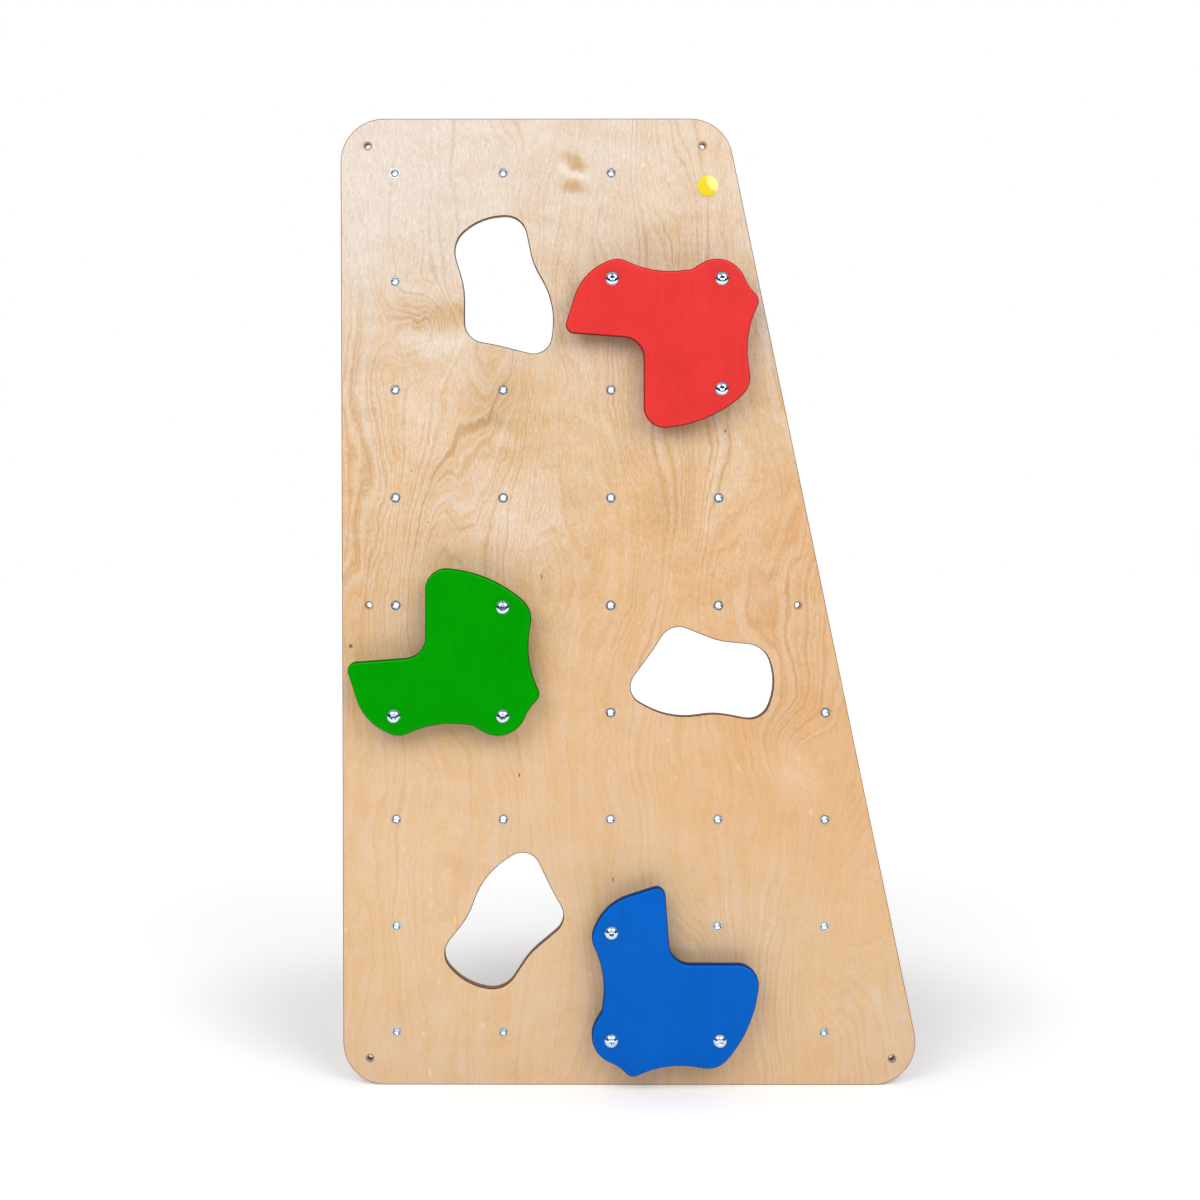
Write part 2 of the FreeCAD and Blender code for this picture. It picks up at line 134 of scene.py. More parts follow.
class FittingFinish(bpy.types.PropertyGroup):
    """Steel fittings and their details."""
    thread_pitch: length_property("Thread pitch", "Pitch of the inserts' thread", 0.00175)
    thread_major: length_property("Thread radius", "Major radius of the inserts' thread", 0.006)
    thread_minor: length_property("Thread crest radius", "Minor radius of the inserts' thread", 0.0051)
    insert_mouth: length_property("Insert mouth radius", "Outer radius of the coned mouth", 0.0074)
    insert_mouth_depth: length_property("Insert mouth depth", "Depth of the coned mouth", 0.0021)
    socket_flats: length_property("Socket", "Width across flats of the bolts' hexagon socket", 0.008)
    socket_depth: length_property("Socket depth", "Depth of the hexagon socket", 0.0045)
    steel: colour_property("Steel", "Polished bolt heads", (0.58, 0.72, 0.82))
    zinc: colour_property("Zinc", "Plated threaded inserts", (0.58, 0.64, 0.69))
    sleeve: colour_property("Sleeves", "Turned distance sleeves", (0.60, 0.61, 0.62))
    badge: colour_property("Badge", "Plain domed badge", (0.70, 0.55, 0.0))
    badge_grain: colour_property("Badge grain", "Darker grain of the badge's print", (0.62, 0.45, 0.0))


class StudioSetup(bpy.types.PropertyGroup):
    """Camera, lights and floor."""
    eye: bpy.props.FloatVectorProperty(
        name="Camera place", description="Where the camera stands", default=(-0.170, -2.922, 1.139),
        subtype="TRANSLATION", unit="LENGTH")
    pitch: bpy.props.FloatProperty(
        name="Pitch", description="How far the camera looks down", default=math.radians(1.43),
        subtype="ANGLE", unit="ROTATION")
    yaw: bpy.props.FloatProperty(
        name="Yaw", description="How far the camera turns to the left", default=math.radians(0.13),
        subtype="ANGLE", unit="ROTATION")
    lens: bpy.props.FloatProperty(
        name="Focal length", description="Lens on a 36 mm sensor", default=47.07,
        subtype="DISTANCE_CAMERA")
    lens_shift: bpy.props.FloatVectorProperty(
        name="Lens shift", description="Sideways and upward shift of the lens",
        default=(0.05, -0.07), size=2)
    floor: colour_property("Floor", "Seamless pale floor", (0.93, 0.92, 0.935))
    lamp_power: bpy.props.FloatProperty(
        name="Lamp power", description="Power of each round softbox", default=58, min=0, subtype="POWER",
        unit="POWER")
    lamp_width: length_property("Lamp width", "Width of each round softbox", 2.2)


PROPERTY_GROUPS = {
    "board_finish": BoardFinish,
    "hold_finish": HoldFinish,
    "fitting_finish": FittingFinish,
    "studio_setup": StudioSetup,
}


# ---------------------------------------------------------------- node helpers

def place_node(tree, kind, settings=None, **inputs):
    """Add a node, set its own settings and then its inputs, each a value or another node's socket."""
    node = tree.nodes.new(kind)
    for name, value in (settings or {}).items():
        setattr(node, name, value)
    for name, value in inputs.items():
        feed(tree, node, name.replace("_", " "), value)
    return node


def feed(tree, node, name, value):
    """Set one input of a node, by name or number, to a value or another node's socket."""
    socket = node.inputs[name]
    if isinstance(value, bpy.types.NodeSocket):
        tree.links.new(value, socket)
    elif socket.type == "RGBA":
        socket.default_value = (*value[:3], 1)
    else:
        socket.default_value = value


def maths(tree, operation, *values, clamp=False):
    """A Math node's result."""
    node = place_node(tree, "ShaderNodeMath", {"operation": operation, "use_clamp": clamp})
    for number, value in enumerate(values):
        feed(tree, node, number, value)
    return node.outputs[0]


def vector_maths(tree, operation, *values):
    """A Vector Math node, for its Vector or Value output."""
    node = place_node(tree, "ShaderNodeVectorMath", {"operation": operation})
    for number, value in enumerate(values):
        feed(tree, node, number, value)
    return node


def remap(tree, value, low, high, to_low=0.0, to_high=1.0, smooth=True):
    """A value taken from one range to another, held at both ends."""
    node = place_node(tree, "ShaderNodeMapRange",
                      {"interpolation_type": "SMOOTHSTEP" if smooth else "LINEAR"})
    for name, number in (("Value", value), ("From Min", low), ("From Max", high),
                         ("To Min", to_low), ("To Max", to_high)):
        feed(tree, node, name, number)
    return node.outputs["Result"]


def blend_colour(tree, share, first, second, mode="MIX"):
    """Mix two colours by a share."""
    node = place_node(tree, "ShaderNodeMix", {"data_type": "RGBA", "blend_type": mode})
    feed(tree, node, 0, share)
    feed(tree, node, 6, first)
    feed(tree, node, 7, second)
    return node.outputs[2]


def shaded(tree, colour, tone):
    """A colour made lighter or darker by a factor."""
    grey = place_node(tree, "ShaderNodeCombineXYZ", None, X=tone, Y=tone, Z=tone).outputs[0]
    return blend_colour(tree, 1.0, colour, grey, "MULTIPLY")


def stretched(tree, vector, scale, shift=(0, 0, 0)):
    """A position multiplied axis by axis and then moved."""
    scaled = vector_maths(tree, "MULTIPLY", vector, scale).outputs["Vector"]
    return vector_maths(tree, "ADD", scaled, shift).outputs["Vector"]


def cloud(tree, vector, scale, detail=2.0, roughness=0.5, output="Fac"):
    """A Noise Texture's result."""
    node = place_node(tree, "ShaderNodeTexNoise", {"noise_dimensions": "3D"}, Vector=vector,
                      Scale=scale, Detail=detail, Roughness=roughness)
    return node.outputs[output]


def new_group(name, inputs, outputs):
    """An empty shader node group with named sockets: (name, socket type, default)."""
    tree = bpy.data.node_groups.new(name, "ShaderNodeTree")
    for socket_name, kind, default in inputs:
        socket = tree.interface.new_socket(socket_name, in_out="INPUT", socket_type=kind)
        if default is not None:
            socket.default_value = default
    for socket_name, kind in outputs:
        tree.interface.new_socket(socket_name, in_out="OUTPUT", socket_type=kind)
    return tree, tree.nodes.new("NodeGroupInput"), tree.nodes.new("NodeGroupOutput")


def use_group(tree, name, **inputs):
    """Place a node group in a material with its own values."""
    node = tree.nodes.new("ShaderNodeGroup")
    node.node_tree = bpy.data.node_groups[name]
    for socket, value in inputs.items():
        feed(tree, node, socket.replace("_", " "), value)
    return node


def new_material(name):
    """A material with an empty tree, and its object coordinates."""
    material = bpy.data.materials.new(name)
    material.use_nodes = True
    tree = material.node_tree
    tree.nodes.clear()
    position = tree.nodes.new("ShaderNodeTexCoord").outputs["Object"]
    return material, tree, position


def object_normal(tree):
    """The smooth normal in the object's own axes."""
    return tree.nodes.new("ShaderNodeTexCoord").outputs["Normal"]


def face_share(tree):
    """1 on the flat faces, which look along the depth axis, and 0 on the edges square to them."""
    sides = place_node(tree, "ShaderNodeSeparateXYZ", None, Vector=object_normal(tree)).outputs
    return maths(tree, "ABSOLUTE", sides["Y"])


def flat_position(tree, x, z):
    """A position on the board's face from its two coordinates."""
    return place_node(tree, "ShaderNodeCombineXYZ", None, X=x, Y=0.0, Z=z).outputs[0]


def finish_material(tree, **inputs):
    """Add the Principled shader and the output."""
    shader = place_node(tree, "ShaderNodeBsdfPrincipled", None, **inputs)
    output = tree.nodes.new("ShaderNodeOutputMaterial")
    tree.links.new(shader.outputs["BSDF"], output.inputs["Surface"])
    return shader


def bump(tree, height, strength, distance):
    """A Bump node's normal."""
    node = place_node(tree, "ShaderNodeBump", None, Height=height, Strength=strength, Distance=distance)
    return node.outputs["Normal"]


# ---------------------------------------------------------------- shared effects

FLOAT, VECTOR, COLOUR = "NodeSocketFloat", "NodeSocketVector", "NodeSocketColor"

# Eyes of the veneer's figure, where growth rings close round a hill of the log: place (x, z),
# half width, half height, and how many rings it is worth.
FIGURE_EYES = [
    (-0.265, 1.90, 0.085, 0.26, 6.0),
    (0.045, 1.90, 0.130, 0.36, 8.0),
    (-0.400, 1.40, 0.110, 0.11, -9.0),
    (-0.385, 0.93, 0.130, 0.37, 10.0),
    (-0.235, 1.37, 0.125, 0.29, -9.0),
    (-0.175, 0.96, 0.065, 0.16, 6.0),
    (0.160, 1.00, 0.110, 0.30, 4.0),
    (0.300, 0.63, 0.085, 0.11, 6.0),
    (0.395, 0.33, 0.100, 0.27, 7.0),
    (-0.375, 0.33, 0.085, 0.24, 4.0),
    (0.020, 0.62, 0.080, 0.30, 3.0),
    (0.130, 0.16, 0.100, 0.30, -4.0),
]

# Curl in the veneer, where it turns pale (above 0) or brown (below 0): place (x, z), half width,
# half height and strength.
CURL_PATCHES = [
    (-0.390, 1.265, 0.100, 0.090, 0.9),
    (-0.235, 1.075, 0.170, 0.130, 1.0),
    (-0.450, 1.120, 0.110, 0.180, 0.4),
    (-0.420, 0.420, 0.160, 0.260, 0.35),
    (0.170, 1.130, 0.110, 0.200, 0.5),
    (0.045, 1.270, 0.080, 0.120, 0.4),
    (-0.111, 0.830, 0.022, 0.110, 0.6),
    (0.295, 0.600, 0.075, 0.085, 0.8),
    (-0.114, 1.693, 0.038, 0.010, 2.2),
    (-0.114, 1.714, 0.036, 0.020, -3.0),
    (-0.114, 1.669, 0.038, 0.024, -2.6),
    (-0.350, 1.435, 0.200, 0.050, -1.5),
    (-0.350, 1.385, 0.110, 0.034, 1.3),
    (-0.245, 1.275, 0.105, 0.120, -1.1),
    (-0.242, 1.245, 0.028, 0.014, -1.5),
    (-0.230, 1.215, 0.045, 0.022, 0.9),
    (0.050, 1.100, 0.090, 0.120, -0.6),
    (-0.060, 0.350, 0.060, 0.200, -0.5),
    (0.060, 1.560, 0.120, 0.110, -0.5),
    (0.270, 0.700, 0.130, 0.130, -0.4),
]

# Pin knots in the veneer: place (x, z), half width and half height.
PIN_KNOTS = [
    (-0.173, 0.953, 0.0012, 0.0045),
    (-0.215, 0.583, 0.0016, 0.0035),
    (-0.040, 0.387, 0.0012, 0.0050),
    (0.167, 1.224, 0.0016, 0.0038),
    (-0.529, 0.824, 0.0034, 0.0034),
    (-0.415, 1.150, 0.0014, 0.0016),
    (-0.384, 1.055, 0.0012, 0.0014),
]


def build_figure_eye_group():
    """How far up a hill of the figure a point is: 1 in its middle and 0 outside it."""
    tree, given, result = new_group(
        "Figure eye",
        [("Position", VECTOR, None), ("Middle", VECTOR, None), ("Size", VECTOR, None),
         ("Height", FLOAT, 1.0)],
        [("Rise", FLOAT)])
    away = vector_maths(tree, "SUBTRACT", given.outputs["Position"], given.outputs["Middle"])
    scaled = vector_maths(tree, "DIVIDE", away.outputs["Vector"], given.outputs["Size"])
    distance = vector_maths(tree, "LENGTH", scaled.outputs["Vector"]).outputs["Value"]
    rise = remap(tree, distance, 1.0, 0.0)
    feed(tree, result, "Rise", maths(tree, "MULTIPLY", rise, given.outputs["Height"]))


def drifted(tree, position, flatness, scale, detail, roughness, reach):
    """How far a cloud pushes a point along the board, as a vector."""
    push = cloud(tree, stretched(tree, position, (1.0, 1.0, flatness)), scale, detail, roughness, "Color")
    push = vector_maths(tree, "SUBTRACT", push, (0.5, 0.5, 0.5)).outputs["Vector"]
    return vector_maths(tree, "MULTIPLY", push, (reach[0], 0.0, reach[1])).outputs["Vector"]


def bent_position(tree, position):
    """A position pushed about by broad drifts, ripples and a fine wiggle of the grain."""
    broad = drifted(tree, position, 0.45, 3.2, 3.0, 0.5, (0.11, 0.12))
    ripple = drifted(tree, position, 0.55, 19.0, 3.0, 0.6, (0.018, 0.030))
    wiggle = drifted(tree, position, 1.0, 75.0, 1.0, 0.5, (0.005, 0.007))
    ripple = vector_maths(tree, "ADD", ripple, wiggle).outputs["Vector"]
    bent = vector_maths(tree, "ADD", position, broad).outputs["Vector"]
    return vector_maths(tree, "ADD", bent, ripple).outputs["Vector"]


def ring_lines(tree, position, bent, spacing, upper):
    """Dark (above 0) and pale (below 0) lines where the cut crosses the growth rings."""
    across = place_node(tree, "ShaderNodeSeparateXYZ", None, Vector=bent).outputs["X"]
    rings = maths(tree, "DIVIDE", across, spacing)
    for x, z, half_width, half_height, count in FIGURE_EYES:
        eye = use_group(tree, "Figure eye", Position=bent, Middle=(x, 0, z),
                        Size=(half_width, 1, half_height), Height=count)
        rings = maths(tree, "ADD", rings, eye.outputs["Rise"])
    sway = cloud(tree, stretched(tree, position, (1.5, 1.0, 0.45)), 3.2, 3.0, 0.5)
    rings = maths(tree, "ADD", rings, maths(tree, "MULTIPLY", sway, 20.0))
    phase = maths(tree, "FRACT", maths(tree, "MULTIPLY", rings, 0.5))
    line = maths(tree, "MULTIPLY", remap(tree, phase, 0.55, 0.93), remap(tree, phase, 0.985, 0.94))
    bands = place_node(tree, "ShaderNodeTexNoise", {"noise_dimensions": "1D"},
                       W=maths(tree, "MULTIPLY", rings, 1.15), Scale=1.0, Detail=4.0,
                       Roughness=0.7).outputs[0]
    bands = remap(tree, bands, 0.36, 0.66, -0.8, 0.8, smooth=False)
    presence = cloud(tree, stretched(tree, position, (1.0, 1.0, 0.5), (3.0, 0.0, 7.0)), 5.0, 2.0)
    presence = maths(tree, "MULTIPLY", remap(tree, presence, 0.36, 0.64, 0.30, 1.0), upper)
    line = maths(tree, "ADD", maths(tree, "MULTIPLY", line, 0.24), maths(tree, "MULTIPLY", bands, 1.10))
    return maths(tree, "MULTIPLY", line, presence)


def golden_streaks(tree, bent):
    """Broad golden patches and narrow streaks along the grain, from 0 to 1."""
    patches = cloud(tree, stretched(tree, bent, (1.0, 1.0, 0.7), (1.0, 0.0, 4.0)), 3.4, 3.0, 0.55)
    streaks = cloud(tree, stretched(tree, bent, (1.0, 1.0, 0.12), (2.0, 0.0, 3.0)), 42.0, 3.0, 0.6)
    both = maths(tree, "ADD", maths(tree, "MULTIPLY", patches, 0.5), maths(tree, "MULTIPLY", streaks, 0.5))
    return remap(tree, both, 0.34, 0.66)


def wood_fibre(tree, position, bent, upper):
    """Fine fibre and grit of the sanded face, about 0."""
    fibre = cloud(tree, stretched(tree, bent, (1.0, 1.0, 0.10)), 420.0, 2.0, 0.6)
    grit = cloud(tree, stretched(tree, position, (1.0, 1.0, 0.45)), 260.0, 2.0, 0.7)
    both = maths(tree, "ADD", maths(tree, "MULTIPLY", fibre, 0.5), maths(tree, "MULTIPLY", grit, 0.5))
    return maths(tree, "MULTIPLY", maths(tree, "SUBTRACT", both, 0.5), upper)


def wood_curl(tree, bent, upper):
    """Pale (above 0) and brown (below 0) curl of the veneer."""
    curl = cloud(tree, stretched(tree, bent, (1.0, 1.0, 1.7), (5.0, 0.0, 2.0)), 13.0, 4.0, 0.65)
    curl = maths(tree, "MULTIPLY", remap(tree, curl, 0.28, 0.72, -0.5, 0.5, smooth=False), upper)
    for x, z, half_width, half_height, strength in CURL_PATCHES:
        patch = use_group(tree, "Figure eye", Position=bent, Middle=(x, 0, z),
                          Size=(half_width, 1, half_height), Height=strength)
        curl = maths(tree, "ADD", curl, patch.outputs["Rise"])
    return curl


def pale_flecks(tree, position, bent):
    """Small pale flecks, strewn only in some zones."""
    specks = place_node(tree, "ShaderNodeTexVoronoi", None,
                        Vector=stretched(tree, bent, (1.0, 1.0, 0.6)), Scale=46.0)
    near = remap(tree, specks.outputs["Distance"], 0.22, 0.06)
    chosen = place_node(tree, "ShaderNodeSeparateXYZ", None, Vector=specks.outputs["Color"]).outputs["X"]
    some = remap(tree, chosen, 0.70, 0.74)
    zone = cloud(tree, stretched(tree, position, (1.0, 1.0, 1.0), (9.0, 0.0, 1.0)), 4.0, 1.0)
    zone = remap(tree, zone, 0.46, 0.60)
    return maths(tree, "MULTIPLY", maths(tree, "MULTIPLY", near, some), zone)


def pin_knots(tree, position):
    """Where the pin knots are, from 0 to 1."""
    halo = 1.6  # a knot's soft rim reaches this many times its own size
    knots = 0.0
    for x, z, half_width, half_height in PIN_KNOTS:
        knot = use_group(tree, "Figure eye", Position=position, Middle=(x, 0, z),
                         Size=(half_width * halo, 1, half_height * halo), Height=1.4)
        knots = maths(tree, "ADD", knots, knot.outputs["Rise"], clamp=True)
    return knots


def build_veneer_group():
    """Rotary-cut birch: ring lines, fibre, pale curl, flecks and knots, all from a flat position."""
    tree, given, result = new_group(
        "Veneer figure",
        [("Position", VECTOR, None), ("Ring spacing", FLOAT, 0.016)],
        [("Rings", FLOAT), ("Warmth", FLOAT), ("Fibre", FLOAT), ("Curl", FLOAT), ("Flecks", FLOAT),
         ("Knots", FLOAT)])
    position = given.outputs["Position"]
    bent = bent_position(tree, position)
    # The figure is livelier in the upper half of the board.
    height = place_node(tree, "ShaderNodeSeparateXYZ", None, Vector=position).outputs["Z"]
    upper = remap(tree, height, 0.50, 1.15, 0.50, 1.15)
    feed(tree, result, "Rings", ring_lines(tree, position, bent, given.outputs["Ring spacing"], upper))
    feed(tree, result, "Warmth", golden_streaks(tree, bent))
    feed(tree, result, "Fibre", wood_fibre(tree, position, bent, upper))
    feed(tree, result, "Curl", wood_curl(tree, bent, upper))
    feed(tree, result, "Flecks", pale_flecks(tree, position, bent))
    feed(tree, result, "Knots", pin_knots(tree, position))


def build_lacquer_group():
    """The skin of a sprayed lacquer: a faint swell and a slightly uneven gloss."""
    tree, given, result = new_group(
        "Lacquer skin",
        [("Position", VECTOR, None), ("Roughness", FLOAT, 0.4), ("Unevenness", FLOAT, 0.08)],
        [("Roughness", FLOAT), ("Height", FLOAT)])
    swell = cloud(tree, given.outputs["Position"], 70.0, 2.0, 0.5)
    patches = cloud(tree, given.outputs["Position"], 9.0, 3.0, 0.6)
    uneven = maths(tree, "MULTIPLY", maths(tree, "SUBTRACT", patches, 0.5), given.outputs["Unevenness"])
    feed(tree, result, "Roughness", maths(tree, "ADD", given.outputs["Roughness"], uneven, clamp=True))
    feed(tree, result, "Height", swell)


def build_turned_group():
    """Fine rings that a lathe leaves along the depth of a steel piece, and light handling marks."""
    tree, given, result = new_group(
        "Turned steel",
        [("Position", VECTOR, None), ("Roughness", FLOAT, 0.3), ("Spread", FLOAT, 0.15)],
        [("Roughness", FLOAT), ("Height", FLOAT)])
    rings = cloud(tree, stretched(tree, given.outputs["Position"], (0.02, 1.0, 0.02)), 2600.0, 2.0, 0.6)
    marks = cloud(tree, given.outputs["Position"], 240.0, 3.0, 0.6)
    worn = maths(tree, "MULTIPLY", maths(tree, "SUBTRACT", marks, 0.5), given.outputs["Spread"])
    feed(tree, result, "Roughness", maths(tree, "ADD", given.outputs["Roughness"], worn, clamp=True))
    feed(tree, result, "Height", rings)


# ---------------------------------------------------------------- materials

def screw_hole_places():
    """The six wall-fixing holes, from the mounts that the part states: (x, z)."""
    places = []
    for mount in frame["record"]["mounts"]:
        if mount["name"].startswith("wall_fixing"):
            x, _, z = mount["pos_m"]
            half = mount["dims"]["spacing_x_mm"] / 2000
            places += [(x - half, z), (x + half, z)]
    return places


def veneer_colour(tree, finish, veneer, x, z):
    """The face's colour: pale at the top left from a painted sheen, golden below and at the right, with
    painted shade over the upper part.
    """
    # Painted sheen: the face turns pale towards the top left, where the left lamp's gloss would fall.
    top = remap(tree, z, 1.15, 1.75)
    left = remap(tree, x, -0.5, 0.5, 1.0, 0.1, smooth=False)
    warm = maths(tree, "SUBTRACT", 0.86, maths(tree, "MULTIPLY", maths(tree, "MULTIPLY", top, left), 0.95))
    streaks = remap(tree, veneer.outputs["Warmth"], 0.0, 1.0, -0.17, 0.17, smooth=False)
    warm = maths(tree, "ADD", warm, streaks)
    warm = maths(tree, "SUBTRACT", warm, maths(tree, "MULTIPLY", veneer.outputs["Curl"], 0.42), clamp=True)
    wood = blend_colour(tree, warm, finish.pale_wood_and_sheen, finish.warm_wood)
    late_wood = blend_colour(tree, warm, finish.ring_pale_and_sheen, finish.ring_wood)
    dark_ring = maths(tree, "MULTIPLY", veneer.outputs["Rings"], 0.37, clamp=True)
    wood = blend_colour(tree, dark_ring, wood, late_wood)
    pale_ring = maths(tree, "MULTIPLY", veneer.outputs["Rings"], -0.70, clamp=True)
    wood = blend_colour(tree, pale_ring, wood, finish.pale_wood_and_sheen)

    shade = remap(tree, veneer.outputs["Fibre"], -0.20, 0.20, 0.83, 1.15, smooth=False)
    for share in (remap(tree, veneer.outputs["Curl"], -2.0, 1.0, 0.78, 1.07, smooth=False),
                  # painted shade: the upper part darker, offsetting the lamps' stronger light there
                  remap(tree, z, 0.6, 1.35, 1.0, 0.935),
                  remap(tree, veneer.outputs["Flecks"], 0.0, 1.0, 1.0, 1.18, smooth=False)):
        shade = maths(tree, "MULTIPLY", shade, share)
    wood = shaded(tree, wood, shade)
    middle = maths(tree, "MULTIPLY", remap(tree, z, 0.25, 0.60), remap(tree, z, 1.35, 1.00))
    golden = maths(tree, "MULTIPLY", middle, remap(tree, x, -0.15, 0.45, 0.22, 1.0))
    wood = blend_colour(tree, golden, wood, finish.honey, "MULTIPLY")
    return blend_colour(tree, veneer.outputs["Knots"], wood, finish.knot_wood)


def edge_colour(tree, finish, position, facing, x, depth, z):
    """The edges' colour: stained plies, darker on the roundings, and bare wood with painted shade in the
    countersinks.
    """
    layers = maths(tree, "PINGPONG", maths(tree, "ADD", depth, BOARD_BACK), finish.ply)
    ply = remap(tree, maths(tree, "DIVIDE", layers, finish.ply), 0.42, 0.58)
    streaks = cloud(tree, stretched(tree, position, (1.0, 8.0, 1.0)), 120.0, 2.0)
    ply = maths(tree, "MULTIPLY", ply, remap(tree, streaks, 0.3, 0.7, 0.6, 1.0))
    rim = blend_colour(tree, ply, finish.edge_dark, finish.edge_pale)

    slanted_edge = maths(tree, "SUBTRACT", BOARD_HIGH.x + CORNER_CUT, maths(tree, "MULTIPLY", z, SLANT))
    to_sides = maths(tree, "MINIMUM", maths(tree, "SUBTRACT", x, BOARD_LOW.x),
                     maths(tree, "SUBTRACT", slanted_edge, x))
    to_outline = maths(tree, "MINIMUM", to_sides, maths(tree, "PINGPONG", z, BOARD_HEIGHT / 2))
    outer = remap(tree, to_outline, EDGE_BAND, EDGE_BAND - 0.004)
    rounding_dark = blend_colour(tree, outer, finish.cutout_rounding_dark, finish.outer_rounding_dark)
    # The roundings between face and edge turn dark.
    rim = blend_colour(tree, remap(tree, facing, 0.05, 0.30), rim, rounding_dark)

    to_screw = 1.0
    for hole_x, hole_z in screw_hole_places():
        away = vector_maths(tree, "DISTANCE", flat_position(tree, x, z), (hole_x, 0, hole_z))
        to_screw = maths(tree, "MINIMUM", to_screw, away.outputs["Value"])
    # Painted shade: the countersinks' bare wood, darkened as the recess's shade.
    countersink = maths(tree, "MULTIPLY", remap(tree, to_screw, 0.0098, 0.0092),
                        remap(tree, depth, -0.0050, -0.0058))
    return blend_colour(tree, countersink, rim, finish.countersink_wood_and_shade)


def board_material(finish):
    """Birch veneer on both faces and brown sealed plies on every edge, under a satin lacquer."""
    material, tree, position = new_material("birch_plywood")
    x, depth, z = place_node(tree, "ShaderNodeSeparateXYZ", None, Vector=position).outputs
    behind = maths(tree, "GREATER_THAN", depth, 0.0)
    flat = flat_position(tree, maths(tree, "ADD", x, maths(tree, "MULTIPLY", behind, BACK_FIGURE[0])),
                         maths(tree, "ADD", z, maths(tree, "MULTIPLY", behind, BACK_FIGURE[1])))
    veneer = use_group(tree, "Veneer figure", Position=flat, Ring_spacing=0.0125)
    facing = face_share(tree)
    inset = maths(tree, "SUBTRACT", BOARD_BACK, maths(tree, "ABSOLUTE", depth))
    on_edge = maths(tree, "MAXIMUM", remap(tree, inset, 0.00005, 0.00015),
                    remap(tree, facing, 0.9995, 0.997))
    colour = blend_colour(tree, on_edge, veneer_colour(tree, finish, veneer, x, z),
                          edge_colour(tree, finish, position, facing, x, depth, z))

    skin = use_group(tree, "Lacquer skin", Position=position, Roughness=finish.gloss_roughness,
                     Unevenness=0.10)
    height = maths(tree, "ADD", maths(tree, "MULTIPLY", veneer.outputs["Fibre"], 0.7),
                   maths(tree, "MULTIPLY", veneer.outputs["Rings"], -0.25))
    roughness = maths(tree, "ADD", skin.outputs["Roughness"], maths(tree, "MULTIPLY", on_edge, 0.35))
    finish_material(tree, Base_Color=colour, Roughness=roughness, Normal=bump(tree, height, 0.25, 0.0004))
    return material


def lacquer_material(name, colour, finish):
    """A coloured lacquer with a faint brushed grain, painted shade round the rim and a painted highlight
    along its upper side.
    """
    material, tree, position = new_material(name)
    skin = use_group(tree, "Lacquer skin", Position=position, Roughness=finish.roughness, Unevenness=0.10)
    grain = cloud(tree, stretched(tree, position, (1.0, 1.0, 0.16)), 130.0, 3.0, 0.6)
    mottle = cloud(tree, stretched(tree, position, (1.0, 1.0, 1.0), (4.0, 0.0, 0.0)), 14.0, 3.0, 0.6)
    tone = maths(tree, "ADD", remap(tree, grain, 0.3, 0.7, -0.03, 0.03),
                 remap(tree, mottle, 0.3, 0.7, 0.96, 1.04))
    facing = face_share(tree)
    # Painted shade: the rounded rim darkens as it turns away from the face.
    tone = maths(tree, "MULTIPLY", tone, remap(tree, facing, 0.46, 0.95, 0.24, 1.0))
    rise = place_node(tree, "ShaderNodeSeparateXYZ", None, Vector=object_normal(tree)).outputs["Z"]
    # Painted highlight: a light band just inside the rounding, strongest on the upper edges.
    rim = maths(tree, "MULTIPLY", remap(tree, facing, 0.88, 0.965), remap(tree, facing, 0.9996, 0.985))
    highlight_upward = remap(tree, rise, 0.0, 0.4, 0.08, 0.62)
    tone = maths(tree, "ADD", tone, maths(tree, "MULTIPLY", rim, highlight_upward))
    height = maths(tree, "ADD", skin.outputs["Height"], maths(tree, "MULTIPLY", grain, 0.5))
    finish_material(tree, Base_Color=shaded(tree, colour, tone), Roughness=skin.outputs["Roughness"],
                    Specular_IOR_Level=0.045, Normal=bump(tree, height, 0.12, 0.0005))
    return material


def steel_material(name, colour, roughness, spread, strength):
    """Steel with turning marks."""
    material, tree, position = new_material(name)
    turned = use_group(tree, "Turned steel", Position=position, Roughness=roughness, Spread=spread)
    haze = cloud(tree, position, 90.0, 3.0, 0.6)
    tint = blend_colour(tree, remap(tree, haze, 0.3, 0.7), colour, tuple(0.88 * part for part in colour))
    finish_material(tree, Base_Color=tint, Metallic=1.0, Roughness=turned.outputs["Roughness"],
                    Normal=bump(tree, turned.outputs["Height"], strength, 0.00005))
    return material


def badge_material(finish):
    """Yellow print under a clear resin dome."""
    material, tree, position = new_material("badge_resin")
    skin = use_group(tree, "Lacquer skin", Position=position, Roughness=0.22, Unevenness=0.05)
    print_grain = cloud(tree, position, 900.0, 1.0)
    grain_share = remap(tree, print_grain, 0.3, 0.7, 0.0, 0.12)
    yellow = blend_colour(tree, grain_share, finish.badge, finish.badge_grain)
    finish_material(tree, Base_Color=yellow, Roughness=skin.outputs["Roughness"],
                    Normal=bump(tree, skin.outputs["Height"], 0.05, 0.0003), Coat_Weight=0.9,
                    Coat_Roughness=0.04)
    return material


# ---------------------------------------------------------------- shaping

def lathe(outline, steps):
    """Spin an outline of (radius, depth) points about the depth axis into an open skin."""
    shape = bmesh.new()
    points = [shape.verts.new((radius, depth, 0)) for radius, depth in outline]
    edges = [shape.edges.new(pair) for pair in zip(points, points[1:])]
    bmesh.ops.spin(shape, geom=points + edges, cent=(0, 0, 0), axis=(0, 1, 0), angle=FULL_TURN,
                   steps=steps, use_merge=True, use_duplicate=False)
    bmesh.ops.remove_doubles(shape, verts=shape.verts, dist=1e-6)
    return shape


